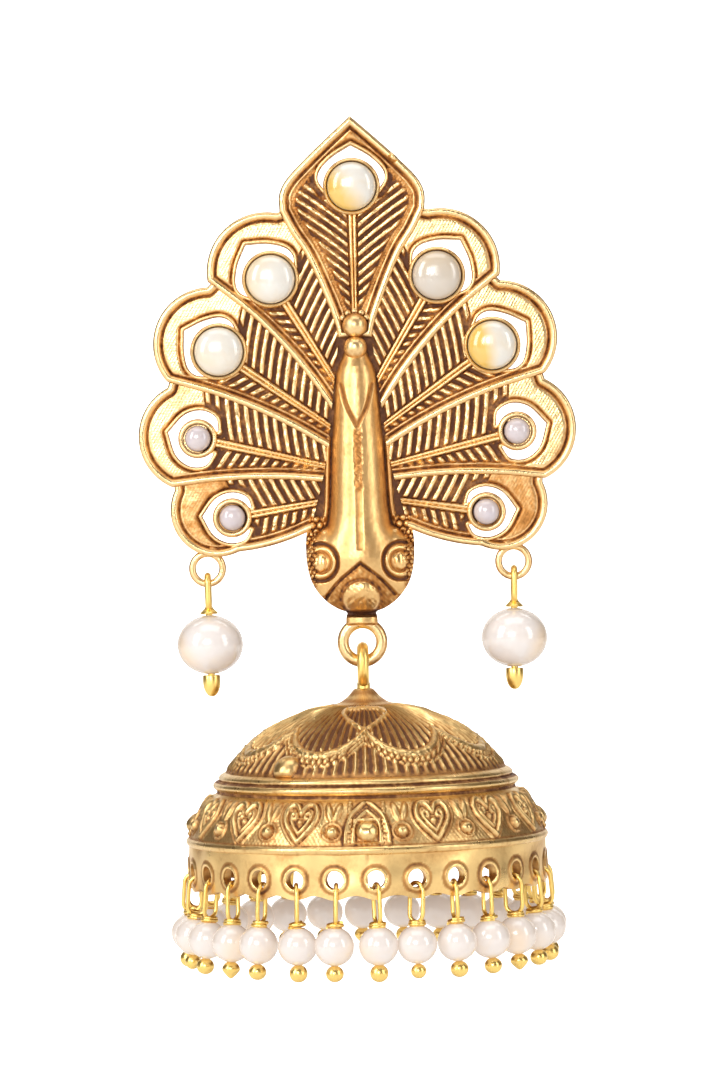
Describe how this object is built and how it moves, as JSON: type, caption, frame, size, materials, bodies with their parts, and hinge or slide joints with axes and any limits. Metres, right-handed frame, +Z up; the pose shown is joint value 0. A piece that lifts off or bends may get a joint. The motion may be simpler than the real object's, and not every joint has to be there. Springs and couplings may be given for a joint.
{
  "type": "jhumka earring",
  "caption": "Cast peacock stud set with stones, with two pearl side drops and a hollow bell dome hanging free below it, fringed with pearl drops.",
  "frame": {"origin": "the seat of the ear post on the back of the stud", "axes": "+Z up, the front of the earring faces -Y and the post points along +Y"},
  "size_m": [0.0452, 0.0411, 0.0877],
  "materials": {
    "stud_metal": "antique gold with dark brown patina in the recesses",
    "dome_metal": "antique gold, paler, with brown patina in the recesses",
    "wire_metal": "bright polished gold plate",
    "mother_of_pearl": "polished mother-of-pearl",
    "half_pearl": "lilac grey pearl lustre",
    "side_pearl": "pearl lustre, cream at the edges",
    "fringe_pearl": "pearl lustre with bright gold wire and end balls"
  },
  "bodies": {
    "stud": {"peacock_stud": "stud_metal", "ear_post": "wire_metal", "cabochon_crown": "mother_of_pearl", "cabochon_upper_left": "mother_of_pearl", "cabochon_upper_right": "mother_of_pearl", "cabochon_middle_left": "mother_of_pearl", "cabochon_middle_right": "mother_of_pearl", "half_pearl_lower_left": "half_pearl", "half_pearl_lower_right": "half_pearl", "half_pearl_bottom_left": "half_pearl", "half_pearl_bottom_right": "half_pearl", "side_drop_pin_left": "wire_metal", "side_drop_pin_right": "wire_metal", "side_drop_pearl_left": "side_pearl", "side_drop_pearl_right": "side_pearl"},
    "dome": {"jhumka_dome": "dome_metal", "dome_bail": "wire_metal", "fringe_drop_01": "fringe_pearl", "fringe_drop_02": "fringe_pearl", "fringe_drop_03": "fringe_pearl", "fringe_drop_04": "fringe_pearl", "fringe_drop_05": "fringe_pearl", "fringe_drop_06": "fringe_pearl", "fringe_drop_07": "fringe_pearl", "fringe_drop_08": "fringe_pearl", "fringe_drop_09": "fringe_pearl", "fringe_drop_10": "fringe_pearl", "fringe_drop_11": "fringe_pearl", "fringe_drop_12": "fringe_pearl", "fringe_drop_13": "fringe_pearl", "fringe_drop_14": "fringe_pearl", "fringe_drop_15": "fringe_pearl", "fringe_drop_16": "fringe_pearl", "fringe_drop_17": "fringe_pearl", "fringe_drop_18": "fringe_pearl", "fringe_drop_19": "fringe_pearl", "fringe_drop_20": "fringe_pearl", "fringe_drop_21": "fringe_pearl", "fringe_drop_22": "fringe_pearl", "fringe_drop_23": "fringe_pearl", "fringe_drop_24": "fringe_pearl", "fringe_drop_25": "fringe_pearl", "fringe_drop_26": "fringe_pearl", "fringe_drop_27": "fringe_pearl", "fringe_drop_28": "fringe_pearl"}
  },
  "joints": [
    {"name": "dome_swing", "type": "hinge", "parent": "stud", "child": "dome", "pos_m": [0, -0.00085, -0.036], "axis": [1, 0, 0], "range_deg": [-40, 40]}
  ]
}
